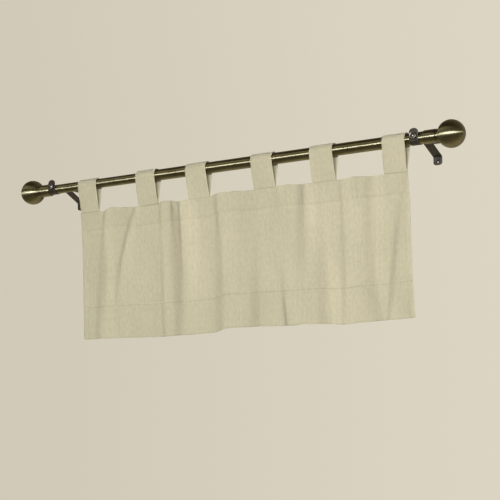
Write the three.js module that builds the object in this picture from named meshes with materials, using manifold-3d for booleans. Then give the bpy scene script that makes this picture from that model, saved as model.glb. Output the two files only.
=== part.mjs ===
// Tab top valance: a short cotton panel that hangs by six cloth loops from a telescoping curtain rod,
// with the rod's ball finials and the two steel brackets that carry it off the wall.
// Millimetres. X runs along the rod, Y into the wall and Z up. The origin is on the wall's face, at the
// height of the rod's axis, midway between the brackets.
import * as THREE from 'three';
import * as BufferGeometryUtils from 'three/addons/utils/BufferGeometryUtils.js';
import Module from 'manifold-3d';

// Rod
const ROD_TO_WALL = 98;
const OUTER_TUBE = { radius: 12.7, bore: 11.4, from: -205, to: 518 };
const INNER_TUBE = { radius: 10.8, bore: 9.8, from: -510, to: 50 };
const TUBE_SIDES = 40;

// Finials: a collar over the tube's end, and a ball with a ring and a short neck that stands on the collar
const COLLAR = { radius: 14.25, length: 28, edge: 1, socketDepth: 17 };
const COLLAR_RIGHT_END = 531;
const COLLAR_LEFT_END = -523.4;
const BALL = { radius: 28.8, neckRadius: 12.2, neckLength: 2.2, ringRadius: 13.6, reach: 31, steps: 14 };

// Brackets: steel strip
const STRIP = { width: 20, thickness: 2, tipRadius: 9, footRadius: 6, bend: 3 };
const BRACKET_X = 484;
const CUP = { radius: 13, lipHeight: 19.5 };
const ARM_HEIGHT = 7;
const UPPER_FOOT = { top: 30, screw: 20 };
const BRACE = { lapFrom: 30, lapTo: 44, footTop: -19.5, footBottom: -38, screw: -31.5 };
const LEFT_BRACKET_LIFT = 1.9;

// Screws
const THUMB_SCREW = { knobRadius: 8, knobLength: 4.7, shankRadius: 2.4, holeRadius: 2.9, height: 3 };
const WALL_SCREW = { headRadius: 4, headHeight: 2.4, shankRadius: 2, holeRadius: 2.4 };

// Running gap between pieces that touch
const GAP = 0.3;

// Cloth
const CLOTH = { tab: 1.4, panelFront: 1.2, panelBack: 0.4, doubledBack: 1.2 };
const TAB_LEG_OFFSET = 0.9;
const TAB = { columns: 4, legRows: 3, wrapRows: 14 };
const FACING_DEPTH = 45;
const HEM_DEPTH = 76;

// Tabs, left to right: where the loop's middle lies on the rod and at the seam, its width and the tube under it
const TABS = [
  { x: -375.6, seamX: -372.4, width: 54.0, tube: INNER_TUBE },
  { x: -202.4, seamX: -199.7, width: 54.0, tube: OUTER_TUBE },
  { x: -60.1, seamX: -56.0, width: 55.0, tube: OUTER_TUBE },
  { x: 114.7, seamX: 117.1, width: 54.5, tube: OUTER_TUBE },
  { x: 264.9, seamX: 266.9, width: 56.0, tube: OUTER_TUBE },
  { x: 437.1, seamX: 435.3, width: 52.5, tube: OUTER_TUBE },
];

// Panel's outline. It swings a little to the right and toward the wall on its way down
const PANEL = { left: -402.5, right: 461.6, swing: 10.5, lean: 12 };

// Panel's top edge: it sags between the tabs
const TOP_EDGE = [
  { x: -402.5, z: -66.0 },
  { x: -345.0, z: -66.0 },
  { x: -331.0, z: -68.3 },
  { x: -308.0, z: -60.4 },
  { x: -284.0, z: -63.1 },
  { x: -261.0, z: -65.1 },
  { x: -231.8, z: -67.9 },
  { x: -172.0, z: -65.9 },
  { x: -160.0, z: -62.1 },
  { x: -139.0, z: -63.4 },
  { x: -116.0, z: -67.9 },
  { x: -103.0, z: -70.2 },
  { x: -86.6, z: -66.9 },
  { x: -28.0, z: -65.5 },
  { x: -17.0, z: -62.0 },
  { x: 8.6, z: -60.0 },
  { x: 34.0, z: -59.8 },
  { x: 60.0, z: -62.2 },
  { x: 88.0, z: -63.0 },
  { x: 145.0, z: -62.1 },
  { x: 158.0, z: -60.7 },
  { x: 184.0, z: -61.2 },
  { x: 209.0, z: -64.9 },
  { x: 223.0, z: -66.4 },
  { x: 236.0, z: -65.6 },
  { x: 296.0, z: -64.3 },
  { x: 312.0, z: -64.8 },
  { x: 333.0, z: -61.8 },
  { x: 358.0, z: -63.6 },
  { x: 381.0, z: -66.2 },
  { x: 409.2, z: -65.3 },
  { x: 461.6, z: -65.9 },
];

// Panel's hem: height, and how far its slow wave stands toward the wall
const HEM = [
  { x: -397, z: -364.7, wave: -3 },
  { x: -330, z: -365.1, wave: 0 },
  { x: -269, z: -366.0, wave: 1 },
  { x: -209, z: -367.6, wave: 7 },
  { x: -170, z: -368.2, wave: 9 },
  { x: -119, z: -368.0, wave: 9 },
  { x: -90, z: -369.1, wave: 9 },
  { x: -48, z: -367.6, wave: 8 },
  { x: -20, z: -366.1, wave: 6 },
  { x: 8, z: -360.9, wave: 3 },
  { x: 40, z: -359.6, wave: 1 },
  { x: 75, z: -360.8, wave: -2 },
  { x: 113, z: -361.9, wave: -6 },
  { x: 158, z: -363.4, wave: -9 },
  { x: 195, z: -365.2, wave: -9 },
  { x: 214, z: -363.0, wave: -10 },
  { x: 240, z: -363.9, wave: -11 },
  { x: 262, z: -365.2, wave: -10 },
  { x: 280, z: -366.9, wave: -6 },
  { x: 298, z: -368.6, wave: -1 },
  { x: 318, z: -368.2, wave: 1 },
  { x: 344, z: -366.4, wave: 2 },
  { x: 372, z: -365.8, wave: 0 },
  { x: 410, z: -365.4, wave: 0 },
  { x: 440, z: -364.9, wave: -2 },
  { x: 469, z: -364.1, wave: -5 },
];

// Folds of the panel, left to right, each a ridge that comes toward the room steeply on its left and falls back
// slowly on its right: x of the crest and rise at the seam, half way down and at the hem, and its half widths on
// the left and on the right, at the seam and at the hem
const FOLDS = [
  { place: 'left edge, broad', x: [-332, -330, -332], rise: [0, 2.5, 0], left: [45, 45], right: [30, 30] },
  { place: 'right side of tab 1', x: [-324, -332, -336], rise: [3, 3.6, 7], left: [5, 17], right: [16, 34] },
  { place: 'slanting from tab 2', x: [-234, -281, -290], rise: [2.6, 3, -5], left: [7, 12], right: [9, 36] },
  { place: 'right side of tab 2', x: [-163, -162, -160], rise: [2.4, 2.2, 3.2], left: [4, 7], right: [10, 18] },
  { place: 'gather after tab 2', x: [-98, -96, -106], rise: [12, 12, 8], left: [24, 26], right: [8, 62] },
  { place: 'right side of tab 3', x: [-6, 1, 6], rise: [4.5, 4.5, 7.5], left: [8, 21], right: [18, 48] },
  { place: 'before tab 4', x: [104, 104, 108], rise: [0, 3.5, 8], left: [16, 24], right: [24, 40] },
  { place: 'right side of tab 4', x: [154, 160, 180], rise: [2, 0.5, 10], left: [6, 8], right: [10, 40] },
  { place: 'gather after tab 4', x: [226, 217, 205], rise: [12, 3, 0], left: [18, 14], right: [7, 40] },
  { place: 'loose cloth under it', x: [252, 268, 286], rise: [0, 3.5, 12], left: [16, 23], right: [10, 12] },
  { place: 'right side of tab 5', x: [309, 315, 316], rise: [3.2, 3.4, 8], left: [5, 14], right: [12, 44] },
  { place: 'before tab 6', x: [382, 380, 404], rise: [3, 3, 9], left: [10, 22], right: [14, 24] },
  { place: 'slanting from the right edge', x: [465, 441, 424], rise: [0, 5, 4.5], left: [11, 13], right: [20, 30] },
  { place: 'right edge', x: [470, 474, 470], rise: [-8, 4, 2], left: [30, 30], right: [30, 30] },
];

// Spacing of the panel's columns, closer where the gathers are, with one at the right edge of each tab
const COLUMN_ZONES = [
  { to: -345, spacing: 14 },
  { to: -172, spacing: 10 },
  { to: -152, spacing: 5 },
  { to: -124, spacing: 7 },
  { to: -84, spacing: 4 },
  { to: -28, spacing: 14 },
  { to: 6, spacing: 8 },
  { to: 76, spacing: 12 },
  { to: 145, spacing: 12 },
  { to: 196, spacing: 8 },
  { to: 240, spacing: 5 },
  { to: 296, spacing: 9 },
  { to: 320, spacing: 8 },
  { to: PANEL.right, spacing: 11 },
];
const PANEL_ROWS = 14;

const COLOURS = {
  cloth: { color: 0xbdb394, roughness: 0.95, metalness: 0 },
  rod: { color: 0x5c5334, roughness: 0.32, metalness: 0.9 },
  steel: { color: 0x3d3826, roughness: 0.45, metalness: 0.8 },
};

const wasm = await Module();
wasm.setup();
const part = new THREE.Group();

function add(name, geometry, look) {
  const mesh = new THREE.Mesh(geometry, new THREE.MeshStandardMaterial(COLOURS[look]));
  mesh.name = name;
  part.add(mesh);
  return mesh;
}

// Smooth value of one column of a table at x, by cubic pieces whose slopes come from the neighbouring rows
function along(table, key, x) {
  const last = table.length - 1;
  const at = THREE.MathUtils.clamp(x, table[0].x, table[last].x);
  let i = 0;
  while (i < last - 1 && at > table[i + 1].x) i += 1;
  const slope = (k) => {
    const before = table[Math.max(k - 1, 0)];
    const after = table[Math.min(k + 1, last)];
    return (after[key] - before[key]) / (after.x - before.x);
  };
  const span = table[i + 1].x - table[i].x;
  const u = (at - table[i].x) / span;
  const rise = table[i + 1][key] - table[i][key];
  const bend = u * (1 - u) * ((slope(i) * span - rise) * (1 - u) - (slope(i + 1) * span - rise) * u);
  return table[i][key] + rise * u + bend;
}

// Value at t from its values at the seam, half way down and at the hem
function down([seam, middle, hem], t) {
  return seam * (1 - t) * (1 - 2 * t) + 4 * middle * t * (1 - t) + hem * t * (2 * t - 1);
}

// How far all the panel's folds stand toward the room at x, t
function foldRise(x, t) {
  let total = 0;
  for (const fold of FOLDS) {
    const beside = x - down(fold.x, t);
    const halves = beside < 0 ? fold.left : fold.right;
    const u = beside / THREE.MathUtils.lerp(halves[0], halves[1], t);
    total += Math.max(down(fold.rise, t), 0) * Math.exp(-u * u);
  }
  return total;
}

// Point of the panel's middle surface: seamX along its top edge, t from 0 at the seam to 1 at the hem
function panelPoint(seamX, t) {
  const x = seamX + PANEL.swing * Math.sqrt(t);
  const y = PANEL.lean * t + along(HEM, 'wave', x) * t ** 1.5 - foldRise(x, t);
  const z = THREE.MathUtils.lerp(along(TOP_EDGE, 'z', seamX), along(HEM, 'z', x), t);
  return new THREE.Vector3(x, y - ROD_TO_WALL, z);
}

// Closed solid between two grids of points, front and back, each point(row, column)
function sheetBetween(rows, columns, front, back) {
  const positions = [];
  const triangles = [];
  const index = (side, i, j) => (side * rows + i) * columns + j;
  for (const point of [front, back]) {
    for (let i = 0; i < rows; i += 1) {
      for (let j = 0; j < columns; j += 1) positions.push(...point(i, j).toArray());
    }
  }
  const quad = (a, b, c, d) => triangles.push(a, b, c, a, c, d);
  for (let i = 0; i < rows - 1; i += 1) {
    for (let j = 0; j < columns - 1; j += 1) {
      quad(index(0, i, j), index(0, i + 1, j), index(0, i + 1, j + 1), index(0, i, j + 1));
      quad(index(1, i, j), index(1, i, j + 1), index(1, i + 1, j + 1), index(1, i + 1, j));
    }
  }
  for (let i = 0; i < rows - 1; i += 1) {
    const end = columns - 1;
    quad(index(0, i, 0), index(1, i, 0), index(1, i + 1, 0), index(0, i + 1, 0));
    quad(index(0, i, end), index(0, i + 1, end), index(1, i + 1, end), index(1, i, end));
  }
  for (let j = 0; j < columns - 1; j += 1) {
    const end = rows - 1;
    quad(index(0, 0, j), index(0, 0, j + 1), index(1, 0, j + 1), index(1, 0, j));
    quad(index(0, end, j), index(1, end, j), index(1, end, j + 1), index(0, end, j + 1));
  }
  const geometry = new THREE.BufferGeometry();
  geometry.setAttribute('position', new THREE.Float32BufferAttribute(positions, 3));
  geometry.setIndex(triangles);
  geometry.computeVertexNormals();
  return geometry;
}

// Solid of revolution about the X axis from [x, radius] pairs in order of x
function turned(profile, sides) {
  const points = profile.map(([x, radius]) => new THREE.Vector2(radius, x));
  return new THREE.LatheGeometry(points, sides).rotateZ(-Math.PI / 2);
}

function toSolid(geometry) {
  const plain = geometry.clone();
  plain.deleteAttribute('normal');
  plain.deleteAttribute('uv');
  const merged = BufferGeometryUtils.mergeVertices(plain, 1e-4);
  return new wasm.Manifold(new wasm.Mesh({
    numProp: 3,
    vertProperties: new Float32Array(merged.attributes.position.array),
    triVerts: new Uint32Array(merged.index.array),
  }));
}

// Geometry with round holes drilled along Y
function drilled(geometry, holes) {
  let solid = toSolid(geometry);
  for (const { radius, y, z } of holes) {
    const drill = new THREE.CylinderGeometry(radius, radius, 10, 24).translate(0, y, z);
    solid = solid.subtract(toSolid(drill));
  }
  const mesh = solid.getMesh();
  const result = new THREE.BufferGeometry();
  result.setAttribute('position', new THREE.Float32BufferAttribute(mesh.vertProperties, 3));
  result.setIndex([...mesh.triVerts]);
  result.computeVertexNormals();
  return result;
}

// Panel: one sheet, thicker on its back where the facing and the hem are turned
const panelColumns = [PANEL.left];
for (const zone of COLUMN_ZONES) {
  const from = panelColumns[panelColumns.length - 1];
  const count = Math.round((zone.to - from) / zone.spacing);
  for (let k = 1; k <= count; k += 1) panelColumns.push(from + (zone.to - from) * (k / count));
}
const seamToHem = 300;
const facingEnd = FACING_DEPTH / seamToHem;
const hemStart = 1 - HEM_DEPTH / seamToHem;
const panelRows = [0, facingEnd / 2, facingEnd - 0.004, facingEnd + 0.004];
const openRows = PANEL_ROWS - 7;
for (let k = 1; k <= openRows; k += 1) {
  panelRows.push(THREE.MathUtils.lerp(facingEnd, hemStart, k / (openRows + 1)));
}
panelRows.push(hemStart - 0.004, hemStart + 0.004, (hemStart + 1) / 2, 1);

function panelFace(offset) {
  return (i, j) => {
    const step = 0.5;
    const t = panelRows[i];
    const x = panelColumns[j];
    const point = panelPoint(x, t);
    const across = panelPoint(x + step, t).sub(panelPoint(x - step, t));
    const normal = new THREE.Vector3(-across.y, across.x, 0).normalize();
    return point.addScaledVector(normal, offset(t));
  };
}
const doubled = (t) => t < facingEnd || t > hemStart;
const panelSheet = sheetBetween(
  panelRows.length,
  panelColumns.length,
  panelFace(() => -CLOTH.panelFront),
  panelFace((t) => (doubled(t) ? CLOTH.doubledBack : CLOTH.panelBack)),
);
add('valance_panel', panelSheet, 'cloth');

// Tabs: each is a strap over the tube whose two legs come together at the panel's top edge
function tabFace(tab, offset) {
  const radius = tab.tube.radius + GAP + CLOTH.tab / 2;
  const rows = TAB.legRows * 2 + TAB.wrapRows + 1;
  return (i, j) => {
    const u = j / (TAB.columns - 1) - 0.5;
    const seamX = tab.seamX + u * tab.width;
    const seam = panelPoint(seamX, 0);
    const length = -(seam.z + GAP);
    const lift = Math.asin((radius - TAB_LEG_OFFSET) / length);
    const side = i < rows / 2 ? -1 : 1;
    const fromEnd = side < 0 ? i : rows - 1 - i;
    const bottom = new THREE.Vector2(side * TAB_LEG_OFFSET, -length);
    const touch = new THREE.Vector2(side * radius * Math.cos(lift), -radius * Math.sin(lift));
    let centre = bottom.clone();
    let normal = new THREE.Vector2(side * Math.cos(lift), -Math.sin(lift));
    let hang = 1;
    if (fromEnd <= TAB.legRows) {
      hang = 1 - fromEnd / TAB.legRows;
      centre.lerp(touch, fromEnd / TAB.legRows);
    } else {
      const turn = (i - TAB.legRows) / TAB.wrapRows;
      const angle = Math.PI + lift - turn * (Math.PI + 2 * lift);
      normal = new THREE.Vector2(Math.cos(angle), Math.sin(angle));
      centre = normal.clone().multiplyScalar(radius);
      hang = 0;
    }
    if (fromEnd === 0) normal.set(side, 0);
    centre.addScaledVector(normal, offset);
    const x = THREE.MathUtils.lerp(tab.x + u * tab.width, seamX, hang);
    const y = centre.x - ROD_TO_WALL + (seam.y + ROD_TO_WALL) * hang;
    return new THREE.Vector3(x, y, centre.y);
  };
}
TABS.forEach((tab, k) => {
  const rows = TAB.legRows * 2 + TAB.wrapRows + 1;
  const outer = tabFace(tab, CLOTH.tab / 2);
  const inner = tabFace(tab, -CLOTH.tab / 2);
  add(`tab_${k + 1}`, sheetBetween(rows, TAB.columns, inner, outer), 'cloth');
});

// Rod: the thin tube slides in the thick one
function tube({ radius, bore, from, to }) {
  return turned([[from, bore], [from, radius], [to, radius], [to, bore], [from, bore]], TUBE_SIDES);
}
add('outer_tube', tube(OUTER_TUBE), 'rod').position.set(0, -ROD_TO_WALL, 0);
add('inner_tube', tube(INNER_TUBE), 'rod').position.set(0, -ROD_TO_WALL, 0);

// Finials, drawn as the right one: the collar's closed end and then the ball
function collar(tubeRadius) {
  const { radius, length, edge, socketDepth } = COLLAR;
  const socket = tubeRadius + GAP;
  const profile = [
    [-length, socket],
    [-length, radius - edge / 2],
    [-length + edge / 2, radius],
    [-edge, radius],
    [0, radius - edge],
    [0, 0],
    [-length + socketDepth, 0],
    [-length + socketDepth, socket],
    [-length, socket],
  ];
  return turned(profile, TUBE_SIDES);
}
function ball() {
  const { radius, neckRadius, neckLength, ringRadius, reach, steps } = BALL;
  const profile = [[GAP, 0], [GAP, neckRadius], [neckLength, neckRadius], [neckLength + 0.5, ringRadius]];
  const start = Math.asin(ringRadius / radius);
  for (let k = 0; k <= steps; k += 1) {
    const angle = THREE.MathUtils.lerp(start, Math.PI, k / steps);
    profile.push([reach - radius * Math.cos(angle), k === steps ? 0 : radius * Math.sin(angle)]);
  }
  return turned(profile, 32);
}
const rightEnd = new THREE.Group();
rightEnd.position.set(COLLAR_RIGHT_END, -ROD_TO_WALL, 0);
rightEnd.add(add('collar_right', collar(OUTER_TUBE.radius), 'rod'), add('ball_right', ball(), 'rod'));
const leftEnd = new THREE.Group();
leftEnd.position.set(COLLAR_LEFT_END, -ROD_TO_WALL, 0);
leftEnd.rotation.z = Math.PI;
leftEnd.add(add('collar_left', collar(INNER_TUBE.radius), 'rod'), add('ball_left', ball(), 'rod'));
part.add(rightEnd, leftEnd);

// Centre line of a bent strip from its corners { y, z, bend }, each corner rounded by its bend
function bentLine(corners) {
  const line = [];
  corners.forEach((corner, k) => {
    const here = new THREE.Vector2(corner.y, corner.z);
    if (!corner.bend) {
      line.push(here);
      return;
    }
    const before = new THREE.Vector2(corners[k - 1].y, corners[k - 1].z).sub(here).normalize();
    const after = new THREE.Vector2(corners[k + 1].y, corners[k + 1].z).sub(here).normalize();
    const start = here.clone().addScaledVector(before, corner.bend);
    const end = here.clone().addScaledVector(after, corner.bend);
    line.push(...new THREE.QuadraticBezierCurve(start, here, end).getPoints(4));
  });
  return line;
}

// Strip of steel along a line in the YZ plane, with both ends rounded in its own width
function strip(line, startRadius, endRadius) {
  const lengths = [0];
  for (let k = 1; k < line.length; k += 1) lengths.push(lengths[k - 1] + line[k].distanceTo(line[k - 1]));
  const total = lengths[lengths.length - 1];
  const arc = [0, 0.08, 0.3, 0.6, 1];
  const stations = [
    ...arc.map((a) => a * startRadius),
    ...lengths.filter((s) => s > startRadius + 0.1 && s < total - endRadius - 0.1),
    ...arc.map((a) => total - a * endRadius).reverse(),
  ];
  const halfWidth = (s) => {
    const [radius, depth] = s < total / 2 ? [startRadius, s] : [endRadius, total - s];
    const short = Math.max(radius - depth, 0);
    return STRIP.width / 2 - radius + Math.sqrt(radius * radius - short * short);
  };
  const pointAt = (s) => {
    let k = 1;
    while (k < lengths.length - 1 && s > lengths[k] + 1e-6) k += 1;
    const u = (s - lengths[k - 1]) / (lengths[k] - lengths[k - 1]);
    return line[k - 1].clone().lerp(line[k], u);
  };
  const face = (offset) => (i, j) => {
    const s = stations[i];
    const point = pointAt(s);
    const ahead = pointAt(Math.min(s + 0.2, total)).sub(pointAt(Math.max(s - 0.2, 0))).normalize();
    const x = (j === 0 ? -1 : 1) * Math.max(halfWidth(s), 0.6);
    return new THREE.Vector3(x, point.x + ahead.y * offset, point.y - ahead.x * offset);
  };
  return sheetBetween(stations.length, 2, face(STRIP.thickness / 2), face(-STRIP.thickness / 2));
}

// Bracket strap: front leg, cup, arm and upper foot
function bracketLine() {
  const radius = CUP.radius + STRIP.thickness / 2;
  const line = [new THREE.Vector2(-radius, CUP.lipHeight)];
  for (let k = 0; k <= 12; k += 1) {
    const angle = Math.PI + (Math.PI * k) / 12;
    line.push(new THREE.Vector2(radius * Math.cos(angle), radius * Math.sin(angle)));
  }
  const foot = ROD_TO_WALL - STRIP.thickness / 2;
  const rest = bentLine([
    { y: radius, z: 0 },
    { y: radius, z: ARM_HEIGHT, bend: STRIP.bend },
    { y: foot, z: ARM_HEIGHT, bend: STRIP.bend },
    { y: foot, z: UPPER_FOOT.top },
  ]);
  return line.concat(rest.slice(1));
}

// Brace: a lap under the arm, a slope and the lower foot
function braceLine() {
  const foot = ROD_TO_WALL - STRIP.thickness / 2;
  const lap = ARM_HEIGHT - STRIP.thickness - GAP;
  return bentLine([
    { y: BRACE.lapFrom, z: lap },
    { y: BRACE.lapTo, z: lap, bend: STRIP.bend },
    { y: foot, z: BRACE.footTop, bend: STRIP.bend },
    { y: foot, z: BRACE.footBottom },
  ]);
}

// Screws are turned about X and then set to point toward the wall
function thumbScrew(tubeRadius, height) {
  const lowest = height - THUMB_SCREW.shankRadius;
  const bearing = -Math.sqrt(tubeRadius ** 2 - lowest ** 2) - GAP;
  const knobEnd = -CUP.radius - STRIP.thickness - GAP;
  const knobStart = knobEnd - THUMB_SCREW.knobLength;
  const { knobRadius, shankRadius } = THUMB_SCREW;
  const profile = [
    [knobStart - 1.2, 0],
    [knobStart - 0.6, knobRadius * 0.45],
    [knobStart, knobRadius * 0.75],
    [knobStart + 1.5, knobRadius],
    [knobEnd - 1, knobRadius],
    [knobEnd, knobRadius - 1],
    [knobEnd, shankRadius],
    [bearing, shankRadius],
    [bearing, 0],
  ];
  return turned(profile, 24).rotateZ(Math.PI / 2);
}
function wallScrew() {
  const { headRadius, headHeight, shankRadius } = WALL_SCREW;
  const seat = -STRIP.thickness - GAP;
  const profile = [
    [seat - headHeight, 0],
    [seat - headHeight * 0.85, headRadius * 0.55],
    [seat - headHeight * 0.45, headRadius * 0.9],
    [seat, headRadius],
    [seat, shankRadius],
    [0, shankRadius],
    [0, 0],
  ];
  return turned(profile, 20).rotateZ(Math.PI / 2);
}

function bracket(side, x, lift, tubeRadius) {
  const foot = ROD_TO_WALL - STRIP.thickness / 2;
  const legHole = { radius: THUMB_SCREW.holeRadius, y: -CUP.radius, z: THUMB_SCREW.height };
  const upperHole = { radius: WALL_SCREW.holeRadius, y: foot, z: UPPER_FOOT.screw };
  const lowerHole = { radius: WALL_SCREW.holeRadius, y: foot, z: BRACE.screw };
  const strap = drilled(strip(bracketLine(), STRIP.tipRadius, STRIP.footRadius), [legHole, upperHole]);
  const brace = drilled(strip(braceLine(), 2, STRIP.footRadius), [lowerHole]);
  const screwHeight = THUMB_SCREW.height;
  const thumb = add(`thumb_screw_${side}`, thumbScrew(tubeRadius, screwHeight + lift), 'steel');
  thumb.position.z = screwHeight;
  const upper = add(`wall_screw_${side}_upper`, wallScrew(), 'steel');
  upper.position.set(0, ROD_TO_WALL, UPPER_FOOT.screw);
  const lower = add(`wall_screw_${side}_lower`, wallScrew(), 'steel');
  lower.position.set(0, ROD_TO_WALL, BRACE.screw);
  const group = new THREE.Group();
  group.position.set(x, -ROD_TO_WALL, lift);
  group.add(add(`bracket_${side}`, strap, 'steel'), add(`brace_${side}`, brace, 'steel'), thumb, upper, lower);
  part.add(group);
}
bracket('left', -BRACKET_X, LEFT_BRACKET_LIFT, INNER_TUBE.radius);
bracket('right', BRACKET_X, 0, OUTER_TUBE.radius);

export default part;
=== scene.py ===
import math
from collections import namedtuple

import bmesh
import bpy
from mathutils import Matrix, Vector, noise


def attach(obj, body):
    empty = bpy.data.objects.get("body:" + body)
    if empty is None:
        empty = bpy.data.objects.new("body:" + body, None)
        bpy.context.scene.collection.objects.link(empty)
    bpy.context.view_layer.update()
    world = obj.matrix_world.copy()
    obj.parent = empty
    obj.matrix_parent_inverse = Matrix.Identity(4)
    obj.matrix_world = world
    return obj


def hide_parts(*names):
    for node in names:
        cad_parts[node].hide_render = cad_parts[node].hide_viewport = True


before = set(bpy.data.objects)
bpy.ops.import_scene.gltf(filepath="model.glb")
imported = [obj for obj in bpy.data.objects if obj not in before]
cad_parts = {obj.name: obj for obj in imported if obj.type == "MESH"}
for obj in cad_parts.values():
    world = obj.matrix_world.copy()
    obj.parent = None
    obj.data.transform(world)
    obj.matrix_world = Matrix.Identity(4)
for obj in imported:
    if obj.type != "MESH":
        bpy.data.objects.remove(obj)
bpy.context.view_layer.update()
scene = bpy.context.scene

# Camera: low and to the right, looking up at the valance
camera_data = bpy.data.cameras.new("camera")
camera_data.sensor_width = 36
camera_data.lens = 102.85
camera = bpy.data.objects.new("camera", camera_data)
camera.location = (1.7740, -2.6386, -0.6615)
camera.rotation_euler = (math.radians(90 + 8.6967), 0, math.radians(33.7228))
scene.collection.objects.link(camera)
scene.camera = camera
scene.view_settings.view_transform = "Standard"

# Stage: a pale floor far below, and a surround that is pale behind the valance and dim above and before it
FLOOR_REACH, FLOOR_HEIGHT = 3, -1.5
FLOOR_COLOUR = (0.60, 0.57, 0.49, 1)
world = bpy.data.worlds.new("surround")
world.use_nodes = True
surround = world.node_tree
direction = surround.nodes.new("ShaderNodeTexCoord")
toward = surround.nodes.new("ShaderNodeSeparateXYZ")
surround.links.new(direction.outputs["Generated"], toward.inputs[0])


def surround_fade(axis, start, end, first, last):
    """Brightness that goes from first to last as the direction turns from start to end along an axis."""
    fade = surround.nodes.new("ShaderNodeMapRange")
    fade.interpolation_type = "SMOOTHSTEP"
    for socket, value in zip(("From Min", "From Max", "To Min", "To Max"), (start, end, first, last)):
        fade.inputs[socket].default_value = value
    surround.links.new(toward.outputs[axis], fade.inputs["Value"])
    return fade.outputs["Result"]


def surround_product(a, b):
    """Product of two brightnesses."""
    product = surround.nodes.new("ShaderNodeMath")
    product.operation = "MULTIPLY"
    surround.links.new(a, product.inputs[0])
    surround.links.new(b, product.inputs[1])
    return product.outputs[0]


behind = surround_fade("Y", -0.35, 0.55, 0.0, 1.0)
tint = surround.nodes.new("ShaderNodeMix")
tint.data_type = "RGBA"
tint.inputs["A"].default_value = (0.20, 0.18, 0.135, 1)
tint.inputs["B"].default_value = (0.66, 0.61, 0.50, 1)
surround.links.new(behind, tint.inputs["Factor"])
upward = surround_fade("Z", 0.30, 0.80, 1.0, 0.5)
downward = surround_fade("Z", -0.85, -0.45, 2.0, 1.0)
rightward = surround_fade("X", -0.75, -0.35, 0.95, 1.09)
strength = surround_product(surround_product(upward, downward), rightward)
surround.links.new(tint.outputs["Result"], surround.nodes["Background"].inputs["Color"])
surround.links.new(strength, surround.nodes["Background"].inputs["Strength"])
scene.world = world


def finished(bm, name):
    """Object in the scene with the mesh that has been made."""
    mesh = bpy.data.meshes.new(name)
    bm.to_mesh(mesh)
    bm.free()
    made = bpy.data.objects.new(name, mesh)
    scene.collection.objects.link(made)
    return made


bm = bmesh.new()
bmesh.ops.create_grid(bm, x_segments=1, y_segments=1, size=FLOOR_REACH)
floor = finished(bm, "floor")
floor.location.z = FLOOR_HEIGHT
floor.visible_glossy = False
floor_material = bpy.data.materials.new("floor")
floor_material.use_nodes = True
floor_surface = floor_material.node_tree.nodes["Principled BSDF"]
floor_surface.inputs["Base Color"].default_value = FLOOR_COLOUR
floor_surface.inputs["Roughness"].default_value = 0.8
floor.data.materials.append(floor_material)

# Soft lamps, some of which light the cloth alone and others only shine in the metal
Light = namedtuple("Light", "name place aim size power lights shines colour")
for light in (
    Light("key", (1.1, -3.6, 0.05), (-1.8, -0.1, -0.15), (1.2, 1.0), 107, True, False, (1.0, 0.98, 0.92)),
    Light("glint", (1.1, -3.6, -0.25), (0, -0.1, 0), (1.6, 0.45), 330, False, True, (0.72, 0.78, 1.0)),
    Light("side", (5.6, -6.0, 0.1), (0, -0.1, -0.15), (2.0, 2.4), 354, True, False, (1.0, 0.98, 0.92)),
    Light("back", (0.6, 2.4, 1.2), (0, -0.1, -0.1), (2.0, 1.0), 30, True, False, (1.0, 0.98, 0.94)),
    Light("ceiling", (-1.4, -1.7, 1.5), (0, -0.1, 0), (2.6, 1.2), 18, False, True, (1.0, 0.97, 0.88)),
):
    data = bpy.data.lights.new(light.name, "AREA")
    data.shape = "RECTANGLE"
    data.size, data.size_y = light.size
    data.energy = light.power
    data.color = light.colour
    lamp = bpy.data.objects.new(light.name, data)
    lamp.visible_diffuse = light.lights
    lamp.visible_glossy = light.shines
    lamp.location = light.place
    lamp.rotation_euler = (Vector(light.aim) - Vector(light.place)).to_track_quat("-Z", "Y").to_euler()
    scene.collection.objects.link(lamp)

# Valance panel: one width of natural cotton canvas, with a facing turned down behind its top edge, a deep
# hem and narrow side hems, all machine stitched. It is gathered a little before tab 3 and before tab 5.
ROD_Y = -98.0
PANEL_LEFT, PANEL_RIGHT = -402.5, 461.6
PANEL_DROP, PANEL_FLAT_WIDTH = 300.0, 914.4
FACING, HEM_DEPTH, SIDE_HEM = 45.0, 76.0, 13.0
# How far the hem hangs to the right of the seam and behind it
PANEL_SWING, PANEL_LEAN = 10.5, 12.0
# Thickness ahead of the panel's middle surface, behind it, and behind it where the cloth is doubled, and the
# shares of front and back that are left along the outline
PANEL_FRONT, PANEL_BACK, DOUBLED_BACK = 1.0, 0.2, 0.9
OUTLINE_FRONT, OUTLINE_BACK = 0.5, 0.4
# Puckers and dip beside a line of stitches, and the places where the puckers of the two side hems begin
PUCKER_HEIGHT, PUCKER_LENGTH, PUCKER_REACH = 0.30, 6.5, 9
STITCH_DIP, STITCH_DIP_REACH = 0.45, 1.7
SIDE_PUCKERS = (900, 0)

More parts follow.
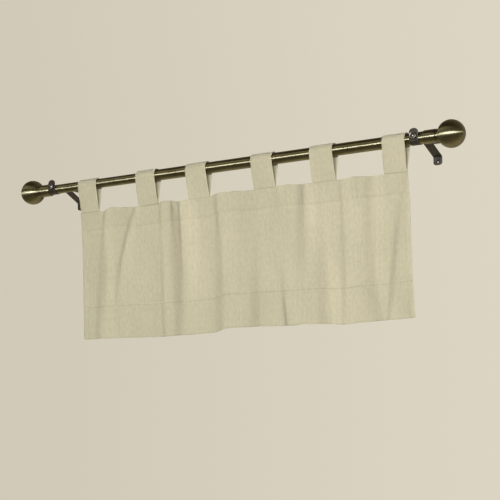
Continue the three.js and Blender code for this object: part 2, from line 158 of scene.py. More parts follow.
TopEdge = namedtuple("TopEdge", "x z")
top_edge = [
    TopEdge(-402.5, -66.0),
    TopEdge(-345.0, -66.0),
    TopEdge(-331.0, -68.3),
    TopEdge(-308.0, -60.4),
    TopEdge(-284.0, -63.1),
    TopEdge(-261.0, -65.1),
    TopEdge(-231.8, -67.9),
    TopEdge(-172.0, -65.9),
    TopEdge(-160.0, -62.1),
    TopEdge(-139.0, -63.4),
    TopEdge(-116.0, -67.9),
    TopEdge(-103.0, -70.2),
    TopEdge(-86.6, -66.9),
    TopEdge(-28.0, -65.5),
    TopEdge(-17.0, -62.0),
    TopEdge(8.6, -60.0),
    TopEdge(34.0, -59.8),
    TopEdge(60.0, -62.2),
    TopEdge(88.0, -63.0),
    TopEdge(145.0, -62.1),
    TopEdge(158.0, -60.7),
    TopEdge(184.0, -61.2),
    TopEdge(209.0, -64.9),
    TopEdge(223.0, -66.4),
    TopEdge(236.0, -65.6),
    TopEdge(296.0, -64.3),
    TopEdge(312.0, -64.8),
    TopEdge(333.0, -61.8),
    TopEdge(358.0, -63.6),
    TopEdge(381.0, -66.2),
    TopEdge(409.2, -65.3),
    TopEdge(461.6, -65.9),
]
Hem = namedtuple("Hem", "x z wave")
hem_line = [
    Hem(-397, -364.7, -3),
    Hem(-330, -365.1, 0),
    Hem(-269, -366.0, 1),
    Hem(-209, -367.6, 7),
    Hem(-170, -368.2, 9),
    Hem(-119, -368.0, 9),
    Hem(-90, -369.1, 9),
    Hem(-48, -367.6, 8),
    Hem(-20, -366.1, 6),
    Hem(8, -360.9, 3),
    Hem(40, -359.6, 1),
    Hem(75, -360.8, -2),
    Hem(113, -361.9, -6),
    Hem(158, -363.4, -9),
    Hem(195, -365.2, -9),
    Hem(214, -363.0, -10),
    Hem(240, -363.9, -11),
    Hem(262, -365.2, -10),
    Hem(280, -366.9, -6),
    Hem(298, -368.6, -1),
    Hem(318, -368.2, 1),
    Hem(344, -366.4, 2),
    Hem(372, -365.8, 0),
    Hem(410, -365.4, 0),
    Hem(440, -364.9, -2),
    Hem(469, -364.1, -5),
]
# Folds, left to right. Each is a ridge that comes forward steeply on its left and falls back slowly on its
# right. It has the x of its crest and its rise at the seam, half way down and at the hem, and half widths to
# its left and to its right at the seam and at the hem. Beyond FOLD_REACH half widths nothing is left of it.
FOLD_REACH = 3.5
Fold = namedtuple("Fold", "x rise left right")
folds = [
    Fold((-332, -330, -332), (0, 2.5, 0), (45, 45), (30, 30)),
    Fold((-324, -332, -336), (3, 3.6, 7), (5, 17), (16, 34)),
    Fold((-234, -281, -290), (2.6, 3, -5), (7, 12), (9, 36)),
    Fold((-163, -162, -160), (2.4, 2.2, 3.2), (4, 7), (10, 18)),
    Fold((-98, -96, -106), (12, 12, 8), (24, 26), (10, 62)),
    Fold((-6, 1, 6), (4.5, 4.5, 7.5), (8, 21), (18, 48)),
    Fold((104, 104, 108), (0, 3.5, 8), (16, 24), (24, 40)),
    Fold((154, 160, 180), (2, 0.5, 10), (6, 8), (10, 40)),
    Fold((226, 217, 205), (12, 3, 0), (18, 14), (9, 40)),
    Fold((252, 268, 286), (0, 3.5, 12), (16, 23), (10, 12)),
    Fold((309, 315, 316), (3.2, 3.4, 8), (5, 14), (12, 44)),
    Fold((382, 380, 404), (3, 3, 9), (10, 22), (14, 24)),
    Fold((465, 441, 424), (0, 5, 4.5), (11, 13), (20, 30)),
    Fold((470, 474, 470), (-8, 4, 2), (30, 30), (30, 30)),
]
# Sharper creases on top of the folds, which only show in the light
creases = [
    Fold((-325, -324, -325), (0, 1.4, 0), (5, 6), (14, 14)),
    Fold((-322, -318, -322), (-2, 1.2, -2), (6, 6), (10, 10)),
    Fold((-228, -281, -291), (0.3, 0.9, 0), (4, 6), (7, 18)),
    Fold((-128, -122, -116), (3.4, 0, 0), (5, 12), (9, 20)),
    Fold((-101, -97, -97), (5.0, 1.0, -3), (4, 8), (6, 14)),
    Fold((-89, -84, -87), (4.2, 1.2, -3), (4, 8), (16, 24)),
    Fold((-4, 4, 8), (0, 1.3, 0), (4, 6), (10, 16)),
    Fold((234, 226, 215), (2.2, 0.8, 0), (3, 8), (14, 20)),
    Fold((452, 430, 418), (0, 0.6, 1.4), (5, 6), (14, 20)),
    Fold((262, 274, 298), (0, 0.4, 3.4), (8, 9), (16, 22)),
]


def along(table, field, x):
    """Smooth value of a table's field at x."""
    x = min(max(x, table[0].x), table[-1].x)
    i = 0
    while i < len(table) - 2 and x > table[i + 1].x:
        i += 1
    span = table[i + 1].x - table[i].x
    rise = getattr(table[i + 1], field) - getattr(table[i], field)

    def slope(k):
        before, after = table[max(k - 1, 0)], table[min(k + 1, len(table) - 1)]
        return (getattr(after, field) - getattr(before, field)) / (after.x - before.x)

    u = (x - table[i].x) / span
    bend = (slope(i) * span - rise) * (1 - u) - (slope(i + 1) * span - rise) * u
    return getattr(table[i], field) + rise * u + u * (1 - u) * bend


def down(values, t):
    """Value at t from its values at the seam, half way down and at the hem."""
    seam, middle, hem = values
    return seam * (1 - t) * (1 - 2 * t) + 4 * middle * t * (1 - t) + hem * t * (2 * t - 1)


def panel_point(seam_x, t):
    """Middle surface of the panel: seam_x along its top edge, t from 0 at the seam to 1 at the hem."""
    x = seam_x + PANEL_SWING * math.sqrt(t)
    y = PANEL_LEAN * t + along(hem_line, "wave", x) * t**1.5
    for fold in folds + creases:
        beside = x - down(fold.x, t)
        halves = fold.left if beside < 0 else fold.right
        u = beside / (halves[0] + (halves[1] - halves[0]) * t)
        if abs(u) < FOLD_REACH:
            y -= max(down(fold.rise, t), 0) * math.exp(-u * u)
    z = along(top_edge, "z", seam_x) * (1 - t) + along(hem_line, "z", x) * t
    return Vector((x, y + ROD_Y, z))


def crumple(u, v):
    """Small unevenness of washed and pressed cotton at a place on the flat cloth."""
    soft = noise.noise(Vector((u / 60, v / 170, 3.1)))
    small = noise.noise(Vector((u / 21, v / 44, 7.7)))
    fine = noise.noise(Vector((u / 8, v / 13, 11.3)))
    return soft + 0.35 * small + 0.10 * fine


def stitched(distance, u):
    """Dip at a stitch line and puckers beside it, from the distance to the line and the place along it."""
    unevenness = noise.noise(Vector((u / PUCKER_LENGTH, 2.0, 5.0)))
    pucker = PUCKER_HEIGHT * unevenness * math.exp(-((distance / PUCKER_REACH) ** 2))
    return pucker + STITCH_DIP * math.exp(-((distance / STITCH_DIP_REACH) ** 2))


def cloth_sheet(name, middle, flat, front, back):
    """Closed thin sheet over a grid of points, with its flat place as a UV map.
    front and back are the thicknesses ahead of and behind the middle, for each row and column."""
    rows, columns = len(middle), len(middle[0])
    bm = bmesh.new()
    place_u = bm.verts.layers.float.new("place_u")
    place_v = bm.verts.layers.float.new("place_v")
    for side in (-1, 1):
        grid = bmesh.ops.create_grid(bm, x_segments=columns - 1, y_segments=rows - 1, size=0.5)["verts"]
        for vert in grid:
            i = round((vert.co.y + 0.5) * (rows - 1))
            j = round((vert.co.x + 0.5) * (columns - 1))
            across = middle[i][min(j + 1, columns - 1)] - middle[i][max(j - 1, 0)]
            lengthwise = middle[min(i + 1, rows - 1)][j] - middle[max(i - 1, 0)][j]
            normal = across.cross(lengthwise).normalized()
            offset = -front(i, j) if side < 0 else back(i, j)
            vert.co = (middle[i][j] - normal * offset) / 1000
            vert[place_u], vert[place_v] = flat(i, j)
    rim = [edge for edge in bm.edges if edge.is_boundary]
    for edge in rim:
        edge.smooth = False
    bmesh.ops.bridge_loops(bm, edges=rim)
    bmesh.ops.recalc_face_normals(bm, faces=bm.faces)
    uv = bm.loops.layers.uv.new("cloth")
    for face in bm.faces:
        face.smooth = True
        for loop in face.loops:
            loop[uv].uv = (loop.vert[place_u] / 1000, loop.vert[place_v] / 1000)
    return finished(bm, name)


THREAD_SPACING = 0.00062
# How much darker the canvas is painted at a distance v down the cloth
Shade = namedtuple("Shade", "v depth")


def canvas_material(name, shades):
    """Natural cotton canvas: plain weave of slightly uneven threads, flecked and a little mottled.
    Painted shade makes it darker by the depth of each shade at its distance down the cloth."""
    material = bpy.data.materials.new(name)
    material.use_nodes = True
    tree = material.node_tree
    surface = tree.nodes["Principled BSDF"]
    link = tree.links.new

    def node(kind, **settings):
        made = tree.nodes.new(kind)
        for key, value in settings.items():
            setattr(made, key, value)
        return made

    def calculate(operation, *values):
        made = node("ShaderNodeMath", operation=operation)
        for socket, value in zip(made.inputs, values):
            if isinstance(value, (int, float)):
                socket.default_value = value
            else:
                link(value, socket)
        return made.outputs[0]

    def noise_over(scale_u, scale_v, detail):
        stretch = node("ShaderNodeVectorMath", operation="MULTIPLY")
        link(place.outputs["UV"], stretch.inputs[0])
        stretch.inputs[1].default_value = (scale_u, scale_v, 1)
        made = node("ShaderNodeTexNoise", noise_dimensions="2D")
        made.inputs["Scale"].default_value = 1
        made.inputs["Detail"].default_value = detail
        link(stretch.outputs[0], made.inputs["Vector"])
        return made.outputs["Fac"]

    place = node("ShaderNodeUVMap", uv_map="cloth")
    split = node("ShaderNodeSeparateXYZ")
    link(place.outputs["UV"], split.inputs[0])
    warp = calculate("SINE", calculate("MULTIPLY", split.outputs["X"], math.pi / THREAD_SPACING))
    weft = calculate("SINE", calculate("MULTIPLY", split.outputs["Y"], math.pi / THREAD_SPACING))
    crossing = calculate("MULTIPLY", warp, weft)
    slub_warp = noise_over(900, 9, 2)
    slub_weft = noise_over(14, 900, 2)
    slubs = calculate("ADD", slub_warp, slub_weft)
    mottle = noise_over(170, 95, 3)
    cloud = noise_over(17, 9, 2)

    tone = calculate("MULTIPLY_ADD", crossing, 0.10, 0.5)
    for unevenness, depth in ((slub_warp, 1.0), (slub_weft, 0.5), (mottle, 1.4), (cloud, 0.7)):
        fleck = calculate("MULTIPLY", calculate("SUBTRACT", unevenness, 0.5), depth)
        tone = calculate("ADD", tone, fleck)
    down_cloth = calculate("MULTIPLY", split.outputs["Y"], -1000 / PANEL_DROP)
    # Painted shade, looked up by the distance down the cloth
    dark = node("ShaderNodeValToRGB")
    steps = dark.color_ramp.elements
    for k, step in enumerate(shades):
        if k >= len(steps):
            steps.new(1)
        steps[k].position = step.v / PANEL_DROP
        steps[k].color = (step.depth, step.depth, step.depth, 1)
    link(down_cloth, dark.inputs[0])
    ramp = node("ShaderNodeValToRGB")
    ramp.color_ramp.elements[0].color = (0.380, 0.357, 0.260, 1)
    ramp.color_ramp.elements[1].color = (0.457, 0.429, 0.320, 1)
    link(calculate("SUBTRACT", tone, dark.outputs["Color"]), ramp.inputs[0])
    link(ramp.outputs["Color"], surface.inputs["Base Color"])

    height = calculate("ADD", calculate("ABSOLUTE", crossing), calculate("MULTIPLY", slubs, 0.7))
    bump = node("ShaderNodeBump")
    bump.inputs["Strength"].default_value = 0.5
    bump.inputs["Distance"].default_value = 0.00025
    link(height, bump.inputs["Height"])
    link(bump.outputs["Normal"], surface.inputs["Normal"])
    surface.inputs["Roughness"].default_value = 0.92
    surface.inputs["Specular IOR Level"].default_value = 0.25
    surface.inputs["Sheen Weight"].default_value = 0.15
    surface.inputs["Sheen Roughness"].default_value = 0.5
    return material


# Painted shade where the doubled cloth lets less light through, along the hem's stitch line and at the hem's
# fold
panel_shades = [
    Shade(0, 0.15),
    Shade(FACING - 3, 0.15),
    Shade(FACING + 2, 0.0),
    Shade(PANEL_DROP - HEM_DEPTH - 1, 0.0),
    Shade(PANEL_DROP - HEM_DEPTH + 2, 0.38),
    Shade(PANEL_DROP - HEM_DEPTH + 5, 0.06),
    Shade(PANEL_DROP - 4, 0.06),
    Shade(PANEL_DROP, 0.5),
]

# Stitch lines: distances down the panel of the facing's and the hem's, and the places of the side hems' two
seam_lines = (FACING - 2, PANEL_DROP - HEM_DEPTH + 2)
side_lines = (PANEL_LEFT + SIDE_HEM, PANEL_RIGHT - SIDE_HEM)


def grid_places(start, end, lines, reach, spacing):
    """Places from start to end, spacing apart, but closer at both ends and within reach of a line."""
    places = [start, start + 1.2, start + 3]
    while places[-1] < end - 6:
        nearest = min(abs(places[-1] - line) for line in lines)
        places.append(places[-1] + (1.0 if nearest < reach else spacing))
    return places + [end - 3, end - 1.2, end]


panel_rows = grid_places(0, PANEL_DROP, seam_lines, 4, 3.2)
panel_columns = grid_places(PANEL_LEFT, PANEL_RIGHT, side_lines, 3, 3.0)


def panel_surface(seam_x, v):
    """The panel's middle surface with its small unevenness and stitch lines, held straight at the seam."""
    point = panel_point(seam_x, v / PANEL_DROP)
    gathers = 1.6 * noise.noise(Vector((seam_x / 9, v / 60, 21.0))) * math.exp(-v / 22)
    offset = crumple(seam_x, v) + gathers
    for line in seam_lines:
        offset += stitched(v - line, seam_x)
    for line, start in zip(side_lines, SIDE_PUCKERS):
        offset += stitched(seam_x - line, v + start)
    point.y += offset * min(1, v / 12 + 0.1)
    return point


def on_outline(i, j):
    """Whether a row and a column of the panel's grid meet on its outline."""
    return i in (0, len(panel_rows) - 1) or j in (0, len(panel_columns) - 1)


def panel_back(i, j):
    """Thickness behind the middle surface, more where a facing or hem is turned."""
    v, x = panel_rows[i], panel_columns[j]
    doubled = v < FACING or v > PANEL_DROP - HEM_DEPTH
    doubled = doubled or min(x - PANEL_LEFT, PANEL_RIGHT - x) < SIDE_HEM + 1.5
    return (DOUBLED_BACK if doubled else PANEL_BACK) * (OUTLINE_BACK if on_outline(i, j) else 1)


def panel_front(i, j):
    """Thickness ahead of the middle surface."""
    return PANEL_FRONT * (OUTLINE_FRONT if on_outline(i, j) else 1)


flat_per_seam = PANEL_FLAT_WIDTH / (PANEL_RIGHT - PANEL_LEFT)
panel = cloth_sheet(
    "valance_cloth",
    [[panel_surface(x, v) for x in panel_columns] for v in panel_rows],
    lambda i, j: ((panel_columns[j] - PANEL_LEFT) * flat_per_seam, -panel_rows[i]),
    panel_front,
    panel_back,
)
panel.data.materials.append(canvas_material("panel_canvas", panel_shades))
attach(panel, "root")
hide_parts("valance_panel")

# Stitches of the panel: lockstitch in a slightly darker thread along the facing, the deep hem and both side
# hems, every stitch half sunk into the cloth.
STITCH_PITCH, STITCH_LENGTH, THREAD_RADIUS = 3.2, 2.3, 0.34
SIDE_STITCH_MARGIN = 6.0
Tone = namedtuple("Tone", "position colour")


def two_toned(name, scale, detail, darker, lighter):
    """Material whose base colour wanders between two tones over the piece."""
    material = bpy.data.materials.new(name)
    material.use_nodes = True
    nodes, link = material.node_tree.nodes, material.node_tree.links.new
    place = nodes.new("ShaderNodeTexCoord")
    cloud = nodes.new("ShaderNodeTexNoise")
    cloud.inputs["Scale"].default_value = scale
    cloud.inputs["Detail"].default_value = detail
    link(place.outputs["Object"], cloud.inputs["Vector"])
    colour = nodes.new("ShaderNodeValToRGB")
    for step, tone in zip(colour.color_ramp.elements, (darker, lighter)):
        step.position = tone.position
        step.color = (*tone.colour, 1)
    link(cloud.outputs["Fac"], colour.inputs[0])
    link(colour.outputs["Color"], nodes["Principled BSDF"].inputs["Base Color"])
    return material


def cotton_thread():
    """Twisted cotton thread."""
    material = two_toned(
        "cotton_thread",
        scale=2500,
        detail=2,
        darker=Tone(0, (0.20, 0.175, 0.105)),
        lighter=Tone(1, (0.38, 0.345, 0.23)),
    )
    material.node_tree.nodes["Principled BSDF"].inputs["Roughness"].default_value = 0.85
    return material


def stitch(bm, start, end):
    """One stitch between two points in millimetres."""
    turn = (end - start).to_track_quat("X", "Z").to_matrix().to_4x4()
    size = Matrix.Diagonal(((end - start).length / 2, THREAD_RADIUS, THREAD_RADIUS, 1))
    place = Matrix.Translation((start + end) / 2) @ turn @ size
    bmesh.ops.create_icosphere(bm, subdivisions=1, radius=1, matrix=Matrix.Scale(0.001, 4) @ place)


def front_of_panel(seam_x, v):
    """Point on the panel's front face."""
    across = panel_surface(seam_x + 1, v) - panel_surface(seam_x - 1, v)
    level = across.cross(Vector((0, 0, 1))).normalized()
    return panel_surface(seam_x, v) + level * (PANEL_FRONT if level.y < 0 else -PANEL_FRONT)


bm = bmesh.new()
for v in seam_lines:
    x, last_x = side_lines
    while x < last_x:
        stitch(bm, front_of_panel(x, v), front_of_panel(x + STITCH_LENGTH, v))
        x += STITCH_PITCH
for x in side_lines:
    v = SIDE_STITCH_MARGIN
    while v < PANEL_DROP - SIDE_STITCH_MARGIN:
        stitch(bm, front_of_panel(x, v), front_of_panel(x, v + STITCH_LENGTH))
        v += STITCH_PITCH
for face in bm.faces:
    face.smooth = True
stitches = finished(bm, "panel_stitches")
stitches.data.materials.append(cotton_thread())
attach(stitches, "root")

# Tabs: six straps of the same canvas, each cut double, turned and pressed, looped over the rod and sewn
# into the panel's top seam.
OUTER_TUBE, INNER_TUBE = 12.7, 10.8
# Clearance round the tube, and what is added to it at the top of a loop
TAB_GAP, TAB_CROWN = 0.3, 0.9
# From what a tab lies on to its middle surface, and from there to its faces and to its thinner edges
TAB_MIDDLE, TAB_HALF, TAB_EDGE_HALF = 0.9, 0.85, 0.35
# Unevenness of the legs between the tube and the seam
TAB_BOW, TAB_RIPPLE = 0.5, 0.35
# Rows of a tab's grid, the column along which its length is taken, and its start in the cloth's pattern
TAB_LEG_ROWS, TAB_WRAP_ROWS = 20, 28
LAST_TAB_ROW = 2 * TAB_LEG_ROWS + TAB_WRAP_ROWS
LENGTH_COLUMN = 8
TAB_CLOTH_V = 400
Tab = namedtuple("Tab", "x seam_x width tube")
tabs = [
    Tab(-375.6, -372.4, 54.0, INNER_TUBE),
    Tab(-202.4, -199.7, 54.0, OUTER_TUBE),
    Tab(-60.1, -56.0, 55.0, OUTER_TUBE),
    Tab(114.7, 117.1, 54.5, OUTER_TUBE),
    Tab(264.9, 266.9, 56.0, OUTER_TUBE),
    Tab(437.1, 435.3, 52.5, OUTER_TUBE),
]
tab_across = [0, 0.012, 0.04] + [k / 14 for k in range(1, 14)] + [0.96, 0.988, 1]


def tab_point(tab, i, u):
    """Middle surface of a tab: i counts rows from the front seam over the rod to the back seam."""
    radius = tab.tube + TAB_GAP + TAB_MIDDLE
    seam_x = tab.seam_x + (u - 0.5) * tab.width
    seam = panel_point(seam_x, 0)
    length = -(seam.z + TAB_GAP)
    lift = math.asin((radius - TAB_MIDDLE) / length)
    side = -1 if i < LAST_TAB_ROW / 2 else 1
    from_end = min(i, LAST_TAB_ROW - i)
    if from_end <= TAB_LEG_ROWS:
        hang = 1 - from_end / TAB_LEG_ROWS
        y = side * (TAB_MIDDLE * hang + radius * math.cos(lift) * (1 - hang))
        z = -length * hang - radius * math.sin(lift) * (1 - hang)
    else:
        hang = 0
        angle = math.pi + lift - (i - TAB_LEG_ROWS) / TAB_WRAP_ROWS * (math.pi + 2 * lift)
        y = radius * math.cos(angle)
        z = radius * math.sin(angle) + TAB_CROWN * max(math.sin(angle), 0)
    x = (tab.x + (u - 0.5) * tab.width) * (1 - hang) + seam_x * hang
    bow = TAB_BOW * side * math.sin(math.pi * hang)
    ripple = TAB_RIPPLE * noise.noise(Vector((x / 24, z / 30, side * 3.0))) * math.sin(math.pi * hang)
    return Vector((x, y + bow + ripple + ROD_Y + (seam.y - ROD_Y) * hang, z))


def tab_half(i, j):
    """Half thickness of a tab, less along its two edges."""
    return TAB_EDGE_HALF if j in (0, len(tab_across) - 1) else TAB_HALF


tab_canvas = canvas_material("tab_canvas", [Shade(0, 0.18), Shade(PANEL_DROP, 0.18)])
for number, tab in enumerate(tabs, 1):
    middle = [[tab_point(tab, i, u) for u in tab_across] for i in range(LAST_TAB_ROW + 1)]
    line = [row[LENGTH_COLUMN] for row in middle]
    run = [0]
    for before, after in zip(line, line[1:]):
        run.append(run[-1] + (after - before).length)
    piece = cloth_sheet(
        f"tab_cloth_{number}",
        middle,
        lambda i, j: (tab.x + (tab_across[j] - 0.5) * tab.width, TAB_CLOTH_V + run[i]),
        tab_half,
        tab_half,
    )
    piece.data.materials.append(tab_canvas)
    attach(piece, "root")
    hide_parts(f"tab_{number}")
    tube = "inner_tube_metal" if number == 1 else "outer_tube_metal"

# Rod tubes: rolled steel, plated a dark antique brass and brushed round the tube. The thinner one slides
# inside the thicker one, whose end is under tab 2.
TURNED_EDGE = math.radians(32)


def antique_brass():
    """Dark brushed brass plating under clear lacquer, browner in places."""
    material = two_toned(
        "antique_brass",
        scale=38,
        detail=4,
        darker=Tone(0.3, (0.125, 0.105, 0.050)),
        lighter=Tone(0.75, (0.190, 0.165, 0.085)),
    )
    tree = material.node_tree
    surface = tree.nodes["Principled BSDF"]
    link = tree.links.new
    place = tree.nodes.new("ShaderNodeTexCoord")
    brush = tree.nodes.new("ShaderNodeMapping")
    brush.inputs["Scale"].default_value = (2600, 12, 12)
    link(place.outputs["Object"], brush.inputs["Vector"])
    lines = tree.nodes.new("ShaderNodeTexNoise")
    lines.inputs["Scale"].default_value = 1
    lines.inputs["Detail"].default_value = 2
    link(brush.outputs["Vector"], lines.inputs["Vector"])
    rough = tree.nodes.new("ShaderNodeMapRange")
    rough.inputs["To Min"].default_value = 0.41
    rough.inputs["To Max"].default_value = 0.45
    link(lines.outputs["Fac"], rough.inputs["Value"])
    link(rough.outputs["Result"], surface.inputs["Roughness"])
    surface.inputs["Metallic"].default_value = 1
    surface.inputs["Anisotropic"].default_value = 1.0
    surface.inputs["Anisotropic Rotation"].default_value = 0.25
    tangent = tree.nodes.new("ShaderNodeTangent")
    tangent.direction_type = "RADIAL"
    tangent.axis = "X"
    link(tangent.outputs["Tangent"], surface.inputs["Tangent"])
    return material


brass = antique_brass()


def turned(name, profile, centre, axis, steps):
    """Solid turned about an axis through centre, from a profile of (distance along the axis, radius)."""
    axis = Vector(axis)
    side = axis.orthogonal().normalized()
    bm = bmesh.new()
    verts = [bm.verts.new((Vector(centre) + axis * s + side * r) / 1000) for s, r in profile]
    edges = [bm.edges.new(pair) for pair in zip(verts, verts[1:])]
    bmesh.ops.spin(
        bm,
        geom=verts + edges,
        cent=Vector(centre) / 1000,
        axis=axis,
        angle=math.tau,
        steps=steps,
        use_merge=True,
        use_duplicate=False,
    )
    bmesh.ops.remove_doubles(bm, verts=bm.verts, dist=1e-6)
    bmesh.ops.recalc_face_normals(bm, faces=bm.faces)
    for face in bm.faces:
        face.smooth = True
    for edge in bm.edges:
        if len(edge.link_faces) == 2 and edge.calc_face_angle() > TURNED_EDGE:
            edge.smooth = False
    return finished(bm, name)


Tube = namedtuple("Tube", "name node radius bore start end")
for tube in (
    Tube("outer_tube_metal", "outer_tube", OUTER_TUBE, 11.4, -205, 518),
    Tube("inner_tube_metal", "inner_tube", INNER_TUBE, 9.8, -510, 50),
):
    profile = [
        (tube.start, tube.bore + 0.2),
        (tube.start, tube.radius - 0.4),
        (tube.start + 0.4, tube.radius),
        (tube.end, tube.radius),
        (tube.end, tube.bore),
        (tube.start + 0.2, tube.bore),
        (tube.start, tube.bore + 0.2),
    ]
    piece = turned(tube.name, profile, (0, ROD_Y, 0), (1, 0, 0), steps=96)
    piece.data.materials.append(brass)
    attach(piece, "root")
    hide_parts(tube.node)

# Finials: a turned collar is pushed over each tube end, and a spun ball stands on it by a short neck. Both
# have the same finish as the tubes.
COLLAR_RADIUS, COLLAR_LENGTH, SOCKET_DEPTH = 14.25, 28.0, 17.0
BALL_RADIUS, BALL_REACH, BALL_STEPS = 28.8, 31.0, 56
NECK_RADIUS, NECK_LENGTH, RING_RADIUS = 12.2, 2.2, 13.6
SEAT_GAP = 0.3
Finial = namedtuple("Finial", "side end outward tube")
for finial in (Finial("left", -523.4, -1, INNER_TUBE), Finial("right", 531.0, 1, OUTER_TUBE)):
    base = (finial.end, ROD_Y, 0)
    outward = (finial.outward, 0, 0)
    socket = finial.tube + SEAT_GAP
    profile = [
        (-COLLAR_LENGTH, socket),
        (-COLLAR_LENGTH, COLLAR_RADIUS - 1.3),
        (-COLLAR_LENGTH + 0.15, COLLAR_RADIUS - 0.8),
        (-COLLAR_LENGTH + 0.6, COLLAR_RADIUS - 0.3),
        (-COLLAR_LENGTH + 1.3, COLLAR_RADIUS),
        (-1.6, COLLAR_RADIUS),
        (-0.7, COLLAR_RADIUS - 0.35),
        (-0.15, COLLAR_RADIUS - 1.0),
        (0, COLLAR_RADIUS - 1.8),
        (0, 0),
        (-COLLAR_LENGTH + SOCKET_DEPTH, 0),
        (-COLLAR_LENGTH + SOCKET_DEPTH, socket),
        (-COLLAR_LENGTH, socket),
    ]
    collar = turned(f"collar_{finial.side}_metal", profile, base, outward, steps=96)
    profile = [
        (SEAT_GAP, 0),
        (SEAT_GAP, NECK_RADIUS),
        (NECK_LENGTH, NECK_RADIUS),
        (NECK_LENGTH + 0.2, RING_RADIUS - 0.5),
        (NECK_LENGTH + 0.7, RING_RADIUS),
    ]
    start = math.asin(RING_RADIUS / BALL_RADIUS)
    for k in range(BALL_STEPS + 1):
        angle = start + (math.pi - start) * k / BALL_STEPS
        profile.append((BALL_REACH - BALL_RADIUS * math.cos(angle), BALL_RADIUS * math.sin(angle)))
    ball = turned(f"ball_{finial.side}_metal", profile, base, outward, steps=112)
    for piece, node in ((collar, f"collar_{finial.side}"), (ball, f"ball_{finial.side}")):
        piece.data.materials.append(brass)
        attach(piece, "root")
        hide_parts(node)

# Brackets: 20 x 2 mm steel strip in dark bronze paint. One strip is the front leg, the cup under the rod, an
# arm and the upper foot, and the other braces the arm from a lower foot. The left bracket sits a little
# higher than the right one.
STRIP_WIDTH, STRIP_THICKNESS, STRIP_BEND, STRIP_EASE = 20.0, 2.0, 3, 0.4
CUP_RADIUS = 14.0
LEG_TOP, ARM_HEIGHT, FOOT_Y, FOOT_TOP = 19.5, 7, 97.0, 30
BRACE_START, BRACE_BEND, BRACE_HEIGHT = 30, 44, 4.7
BRACE_FOOT_TOP, BRACE_FOOT_BOTTOM = -19.5, -38
LEFT_LIFT = 1.9
# How round the strip's ends are, and half of what is left of its width at the very end
LEG_ROUND, FOOT_ROUND, BRACE_ROUND, TIP_HALF = 9, 6, 2, 1.0
# Spacing of points along a strip, points across it and steps in its curves, and the edges that are eased
STRIP_SPACING, STRIP_COLUMNS = 1.2, 9
CUP_STEPS, BEND_STEPS = 24, 8
STRIP_EDGE = math.radians(50)


def bronze_paint():
    """Dark bronze paint, satin, slightly orange-peeled and rubbed lighter in places."""
    material = two_toned(
        "bronze_paint",
        scale=120,
        detail=5,
        darker=Tone(0.35, (0.025, 0.020, 0.013)),
        lighter=Tone(0.8, (0.072, 0.057, 0.039)),
    )
    tree = material.node_tree
    surface = tree.nodes["Principled BSDF"]
    link = tree.links.new
    place = tree.nodes.new("ShaderNodeTexCoord")
    peel = tree.nodes.new("ShaderNodeTexNoise")
    peel.inputs["Scale"].default_value = 900
    link(place.outputs["Object"], peel.inputs["Vector"])
    bump = tree.nodes.new("ShaderNodeBump")
    bump.inputs["Strength"].default_value = 0.25
    bump.inputs["Distance"].default_value = 0.0001
    link(peel.outputs["Fac"], bump.inputs["Height"])
    link(bump.outputs["Normal"], surface.inputs["Normal"])
    surface.inputs["Metallic"].default_value = 0.75
    surface.inputs["Roughness"].default_value = 0.56
    return material


bronze = bronze_paint()


def bent_line(corners):
    """Evenly spaced points along a bent centre line in the YZ plane. A corner is (y, z, bend)."""
    line = []
    for k, (y, z, bend) in enumerate(corners):
        here = Vector((y, z))
        if not bend:
            line.append(here)
            continue
        start = here + (Vector(corners[k - 1][:2]) - here).normalized() * bend
        end = here + (Vector(corners[k + 1][:2]) - here).normalized() * bend
        for step in range(BEND_STEPS + 1):
            u = step / BEND_STEPS
            line.append(start.lerp(here, u).lerp(here.lerp(end, u), u))
    total = sum((b - a).length for a, b in zip(line, line[1:]))
    count = round(total / STRIP_SPACING)
    points, walked, k = [], 0.0, 0
    for step in range(count + 1):
        target = total * step / count
        while k < len(line) - 2 and walked + (line[k + 1] - line[k]).length < target:
            walked += (line[k + 1] - line[k]).length
            k += 1
        points.append(line[k].lerp(line[k + 1], min((target - walked) / (line[k + 1] - line[k]).length, 1)))
    return points


def strip(name, points, bracket, start_round, end_round):
    """Strip of steel along a line in the bracket's own YZ plane, its ends rounded and its edges eased."""
    rows = len(points)
    spacing = (points[1] - points[0]).length
    bm = bmesh.new()
    grid = bmesh.ops.create_grid(bm, x_segments=STRIP_COLUMNS - 1, y_segments=rows - 1, size=0.5)["verts"]
    for vert in grid:
        i = round((vert.co.y + 0.5) * (rows - 1))
        across = vert.co.x * 2
        from_start, from_end = i * spacing, (rows - 1 - i) * spacing
        radius, depth = min((start_round, from_start), (end_round, from_end), key=lambda pair: pair[1])
        short = max(radius - depth, 0)
        half = STRIP_WIDTH / 2 - radius + math.sqrt(max(radius**2 - short**2, 0))
        y, z = points[i]
        vert.co = Vector((bracket.x + across * max(half, TIP_HALF), y + ROD_Y, z + bracket.lift)) / 1000
    bmesh.ops.recalc_face_normals(bm, faces=bm.faces)
    bmesh.ops.solidify(bm, geom=bm.faces, thickness=STRIP_THICKNESS / 1000)
    bmesh.ops.recalc_face_normals(bm, faces=bm.faces)
    sharp = [e for e in bm.edges if len(e.link_faces) == 2 and e.calc_face_angle() > STRIP_EDGE]
    bmesh.ops.bevel(
        bm,
        geom=sharp,
        offset=STRIP_EASE / 1000,
        segments=2,
        profile=0.5,
        affect="EDGES",
        material=-1,
    )
    for face in bm.faces:
        face.smooth = True
    return finished(bm, name)


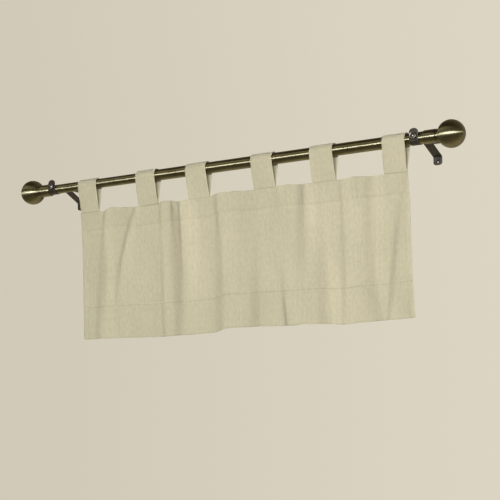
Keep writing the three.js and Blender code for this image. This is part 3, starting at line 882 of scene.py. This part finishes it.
cup_angles = [math.pi + math.pi * k / CUP_STEPS for k in range(CUP_STEPS + 1)]
strap_line = bent_line([
    (-CUP_RADIUS, LEG_TOP, 0),
    *((CUP_RADIUS * math.cos(angle), CUP_RADIUS * math.sin(angle), 0) for angle in cup_angles),
    (CUP_RADIUS, ARM_HEIGHT, STRIP_BEND),
    (FOOT_Y, ARM_HEIGHT, STRIP_BEND),
    (FOOT_Y, FOOT_TOP, 0),
])
brace_line = bent_line([
    (BRACE_START, BRACE_HEIGHT, 0),
    (BRACE_BEND, BRACE_HEIGHT, STRIP_BEND),
    (FOOT_Y, BRACE_FOOT_TOP, STRIP_BEND),
    (FOOT_Y, BRACE_FOOT_BOTTOM, 0),
])
Bracket = namedtuple("Bracket", "side x lift tube")
brackets = (Bracket("left", -484, LEFT_LIFT, INNER_TUBE), Bracket("right", 484, 0.0, OUTER_TUBE))
for bracket in brackets:
    strap = strip(f"bracket_{bracket.side}_steel", strap_line, bracket, LEG_ROUND, FOOT_ROUND)
    brace = strip(f"brace_{bracket.side}_steel", brace_line, bracket, BRACE_ROUND, FOOT_ROUND)
    for piece, node in ((strap, f"bracket_{bracket.side}"), (brace, f"brace_{bracket.side}")):
        piece.data.materials.append(bronze)
        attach(piece, "root")
        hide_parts(node)

# Screws: a thumb screw through each front leg bears on the tube, and a round headed screw through each foot
# holds the bracket up. They are plated a bronze that shines more than the strip.
THUMB_HEIGHT, SHANK_RADIUS = 3.0, 2.4
FOOT_SCREWS = {"upper": 20, "lower": -31.5}


def screw_plating():
    """Semi-gloss bronze plating, rubbed lighter in places."""
    material = two_toned(
        "screw_plating",
        scale=300,
        detail=4,
        darker=Tone(0.35, (0.060, 0.050, 0.034)),
        lighter=Tone(0.75, (0.18, 0.16, 0.115)),
    )
    surface = material.node_tree.nodes["Principled BSDF"]
    surface.inputs["Metallic"].default_value = 1
    surface.inputs["Roughness"].default_value = 0.34
    return material


plating = screw_plating()
wall_screw_profile = [
    (-4.7, 0),
    (-4.65, 1.0),
    (-4.4, 2.0),
    (-3.9, 3.0),
    (-3.2, 3.7),
    (-2.5, 4.0),
    (-2.3, 3.9),
    (-2.3, 2.0),
    (-0.1, 2.0),
    (-0.1, 0),
]
for bracket in brackets:
    height = THUMB_HEIGHT + bracket.lift
    lowest = height - SHANK_RADIUS
    bearing = -math.sqrt(bracket.tube**2 - lowest**2) - SEAT_GAP
    thumb_profile = [
        (-21.3, 0),
        (-21.2, 1.4),
        (-20.9, 2.6),
        (-20.4, 3.6),
        (-19.8, 4.1),
        (-19.8, 5.2),
        (-20.1, 5.8),
        (-20.2, 6.5),
        (-20.0, 7.2),
        (-19.3, 8.0),
        (-16.3, 8.0),
        (-15.6, 7.5),
        (-15.3, 6.8),
        (-15.3, SHANK_RADIUS),
        (bearing, SHANK_RADIUS),
        (bearing, 0),
    ]
    centre = (bracket.x, ROD_Y, height)
    thumb = turned(f"thumb_screw_{bracket.side}_steel", thumb_profile, centre, (0, 1, 0), steps=64)
    thumb.data.materials.append(plating)
    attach(thumb, "root")
    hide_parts(f"thumb_screw_{bracket.side}")
    for foot, screw_height in FOOT_SCREWS.items():
        name = f"wall_screw_{bracket.side}_{foot}"
        centre = (bracket.x, 0, screw_height + bracket.lift)
        screw = turned(f"{name}_steel", wall_screw_profile, centre, (0, 1, 0), steps=48)
        screw.data.materials.append(plating)
        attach(screw, "root")
        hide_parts(name)
